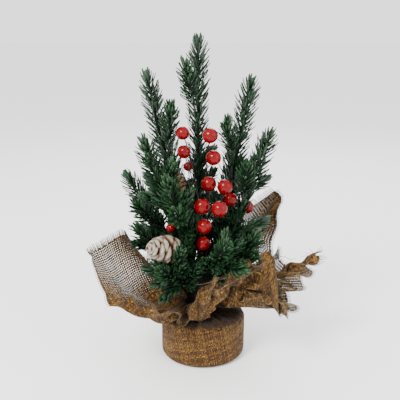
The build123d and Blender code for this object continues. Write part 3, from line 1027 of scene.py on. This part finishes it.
# painted shade: the drum's top and the gathered cloth up into the wings' roots, under the wings' overhang, and
# the left wing's roll, the back wing's strip and the right wing are darkened
shade = smoothstep((s_flat - stops[3] + 7) / 9) * (1 - smoothstep((over - 0.05) / 0.2))
shade = np.maximum(shade, np.clip(roll * 0.6 + strip * 0.25 + band(272, 22) * 0.18, 0, 1))
colour = np.zeros((GRID * GRID, 4))
colour[:, 0] = opened.reshape(-1)
colour[:, 1] = shade.reshape(-1)
colour[:, 3] = 1
point_colour(sheet, "cloth", colour)
smooth = sheet.modifiers.new("smooth", "SUBSURF")
smooth.levels = 1
smooth.render_levels = 1
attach(sheet, "foot")
CLOTH_NODES = sorted(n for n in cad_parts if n.startswith("burlap_"))
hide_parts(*CLOTH_NODES)


# ---- frayed edge
def tubes(paths, radii, sides=3):
    """Threads along paths, a little thinner towards their ends."""
    verts, quads, tris = [], [], []
    at = 0
    for path, radius in zip(paths, radii):
        path = np.asarray(path)
        ahead = unit(np.gradient(path, axis=0))
        side, up = axis_frame(ahead[0])
        n = len(path)
        for i in range(n):
            side = unit(side - ahead[i] * (side @ ahead[i]))
            up = np.cross(ahead[i], side)
            r = radius * (1 - 0.5 * (i / (n - 1)) ** 2)
            for k in range(sides):
                b = 2 * math.pi * k / sides
                verts.append(path[i] + r * (math.cos(b) * side + math.sin(b) * up))
        quads += tube_quads(at, n - 1, sides)
        tris.append([at + 2, at + 1, at])
        last = at + (n - 1) * sides
        tris.append([last, last + 1, last + 2])
        at += n * sides
    return np.array(verts), np.array(quads), np.array(tris)


def fringe():
    """Freed thread ends, long and straight on the left wing's end and ragged on the other edges."""
    paths, radii = [], []
    # border, a row inside it, then pitch and longest thread (mm) and how unruly the threads are
    borders = [(cloth[0], cloth[4], 1.9, 6.0, 0.02), (cloth[:, 0], cloth[:, 4], 2.0, 1.6, 0.08),
               (cloth[-1], cloth[-5], 1.7, 3.2, 0.14), (cloth[:, -1], cloth[:, -5], 1.7, 3.2, 0.14)]
    for number, (border, inner, pitch, longest, unruly) in enumerate(borders):
        outward = unit(border - inner)
        count = int(SQUARE / pitch)
        for k in range(count):
            x = (k + 0.5 + RNG.uniform(-0.2, 0.2)) * (GRID - 1) / count
            i = min(int(x), GRID - 2)
            f = x - i
            p = border[i] * (1 - f) + border[i + 1] * f
            d = outward[i] * (1 - f) + outward[i + 1] * f
            t = unit(border[i + 1] - border[i])
            n = unit(np.cross(d, t))
            length = longest * RNG.uniform(0.88, 1.05)
            if number >= 2 and k > count * 0.86:        # longest near the right wing's tip
                length += 5.0 * (k / count - 0.86) / 0.14
            lean = RNG.normal(0, unruly)
            curl = RNG.normal(0, unruly)
            path = [p - d * 1.2]
            for s in (0.35, 0.7, 1.0):
                path.append(p + length * s * (d + t * lean + n * curl * s))
            paths.append(np.array(path) * MM)
            radii.append((0.48 if number == 0 else RNG.uniform(0.18, 0.28)) * MM)
    return tubes(paths, radii)


# pulled threads that lie loose over the front of the cloth (mm)
LOOSE = [[(-18, -39, 82), (0, -46, 88), (16, -51, 94), (32, -51, 100), (46, -50, 106)],
         [(2, -42, 80), (14, -50, 84), (34, -52, 96), (52, -50, 106), (64, -48, 113)],
         [(62, -40, 113), (72, -34, 109), (80, -26, 103), (86, -16, 101)]]


def border_cords():
    """Last few unbound threads that run along each edge, a little proud of it, and the pulled ones."""
    paths, radii = [], []
    borders = [cloth[0], cloth[-1], cloth[:, 0], cloth[:, -1]]
    insides = [cloth[1], cloth[-2], cloth[:, 1], cloth[:, -2]]
    for border, inner in zip(borders, insides):
        outward = unit(border - inner)
        for offset in (0.4, 1.7):
            wander = np.cumsum(RNG.normal(0, 0.10, GRID))
            wander -= np.linspace(wander[0], wander[-1], GRID)
            path = border + outward * (offset + 0.5 * wander[:, None])
            paths.append(path[1:-1] * MM)
            radii.append(0.20 * MM)
    for points in LOOSE:
        at = np.linspace(0, 1, 24)
        known = np.linspace(0, 1, len(points))
        path = np.stack([np.interp(at, known, column) for column in np.array(points, float).T], 1)
        path[:, 2] += 0.5 * np.sin(at * 19) + 0.3 * np.sin(at * 43)
        for _ in range(2):
            path[1:-1] = (path[:-2] + path[1:-1] * 2 + path[2:]) / 4
        paths.append(path * MM)
        radii.append(0.30 * MM)
    return tubes(paths, radii)


fv, fq, ft = fringe()
frayed = make_mesh("burlap_fringe", fv, [fq, ft], THREAD, "foot")
bv, bq, bt = border_cords()
selvedge = make_mesh("burlap_edge_threads", bv, [bq, bt], THREAD, "foot")

paint_node("foot_weight", PLASTER)
paint_node("neck_tie", ELASTIC)
paint_node("post", STEM)
paint_node("post_tape", TAPE)

# ---- floor, light, camera
floor_mesh = bpy.data.meshes.new("floor")
FLOOR = 12.0            # half its side
corners = [(-FLOOR, -FLOOR, 0), (FLOOR, -FLOOR, 0), (FLOOR, FLOOR, 0), (-FLOOR, FLOOR, 0)]
floor_mesh.from_pydata(corners, [], [(0, 1, 2, 3)])
floor = bpy.data.objects.new("floor", floor_mesh)
bpy.context.scene.collection.objects.link(floor)
floor.location.z = CAD_BOX[0][2] - 0.0002       # just under the foot, so the two faces don't fight
pale = Graph("pale_floor")
pale.set(Base_Color=rgb(0.94, 0.94, 0.94), Roughness=0.95)
floor_mesh.materials.append(pale.material)

world = bpy.data.worlds.new("studio")
bpy.context.scene.world = world
world.use_nodes = True
back = world.node_tree.nodes["Background"]
back.inputs[0].default_value = (1.0, 1.0, 1.0, 1.0)
back.inputs[1].default_value = 2.0


def area_light(name, place, target, size_m, power, tint):
    """Soft rectangular light, pointed at a target."""
    lamp = bpy.data.lights.new(name, "AREA")
    lamp.shape = "RECTANGLE"
    lamp.size, lamp.size_y = size_m
    lamp.energy = power
    lamp.color = tint
    obj = bpy.data.objects.new(name, lamp)
    obj.location = place
    obj.rotation_euler = (Vector(target) - Vector(place)).to_track_quat("-Z", "Y").to_euler()
    bpy.context.scene.collection.objects.link(obj)


area_light("key", (-0.55, -0.75, 0.95), (0, 0, 0.13), (0.4, 0.4), 24.0, (1.0, 0.98, 0.95))
area_light("fill", (0.8, -0.5, 0.5), (0, 0, 0.13), (0.7, 0.7), 4.0, (0.95, 0.98, 1.0))
area_light("rim", (0.2, 0.9, 0.9), (0, 0, 0.15), (0.8, 0.5), 7.0, (1.0, 1.0, 1.0))

AIM = Vector((-0.0028, 0.0, 0.1522))
ELEVATION = math.radians(15.0)
DISTANCE = 0.600
camera_data = bpy.data.cameras.new("camera")
camera_data.lens = 58.3
camera_data.sensor_width = 36.0
camera = bpy.data.objects.new("camera", camera_data)
camera.location = AIM + DISTANCE * Vector((0, -math.cos(ELEVATION), math.sin(ELEVATION)))
camera.rotation_euler = (AIM - camera.location).to_track_quat("-Z", "Y").to_euler()
bpy.context.scene.collection.objects.link(camera)
bpy.context.scene.camera = camera
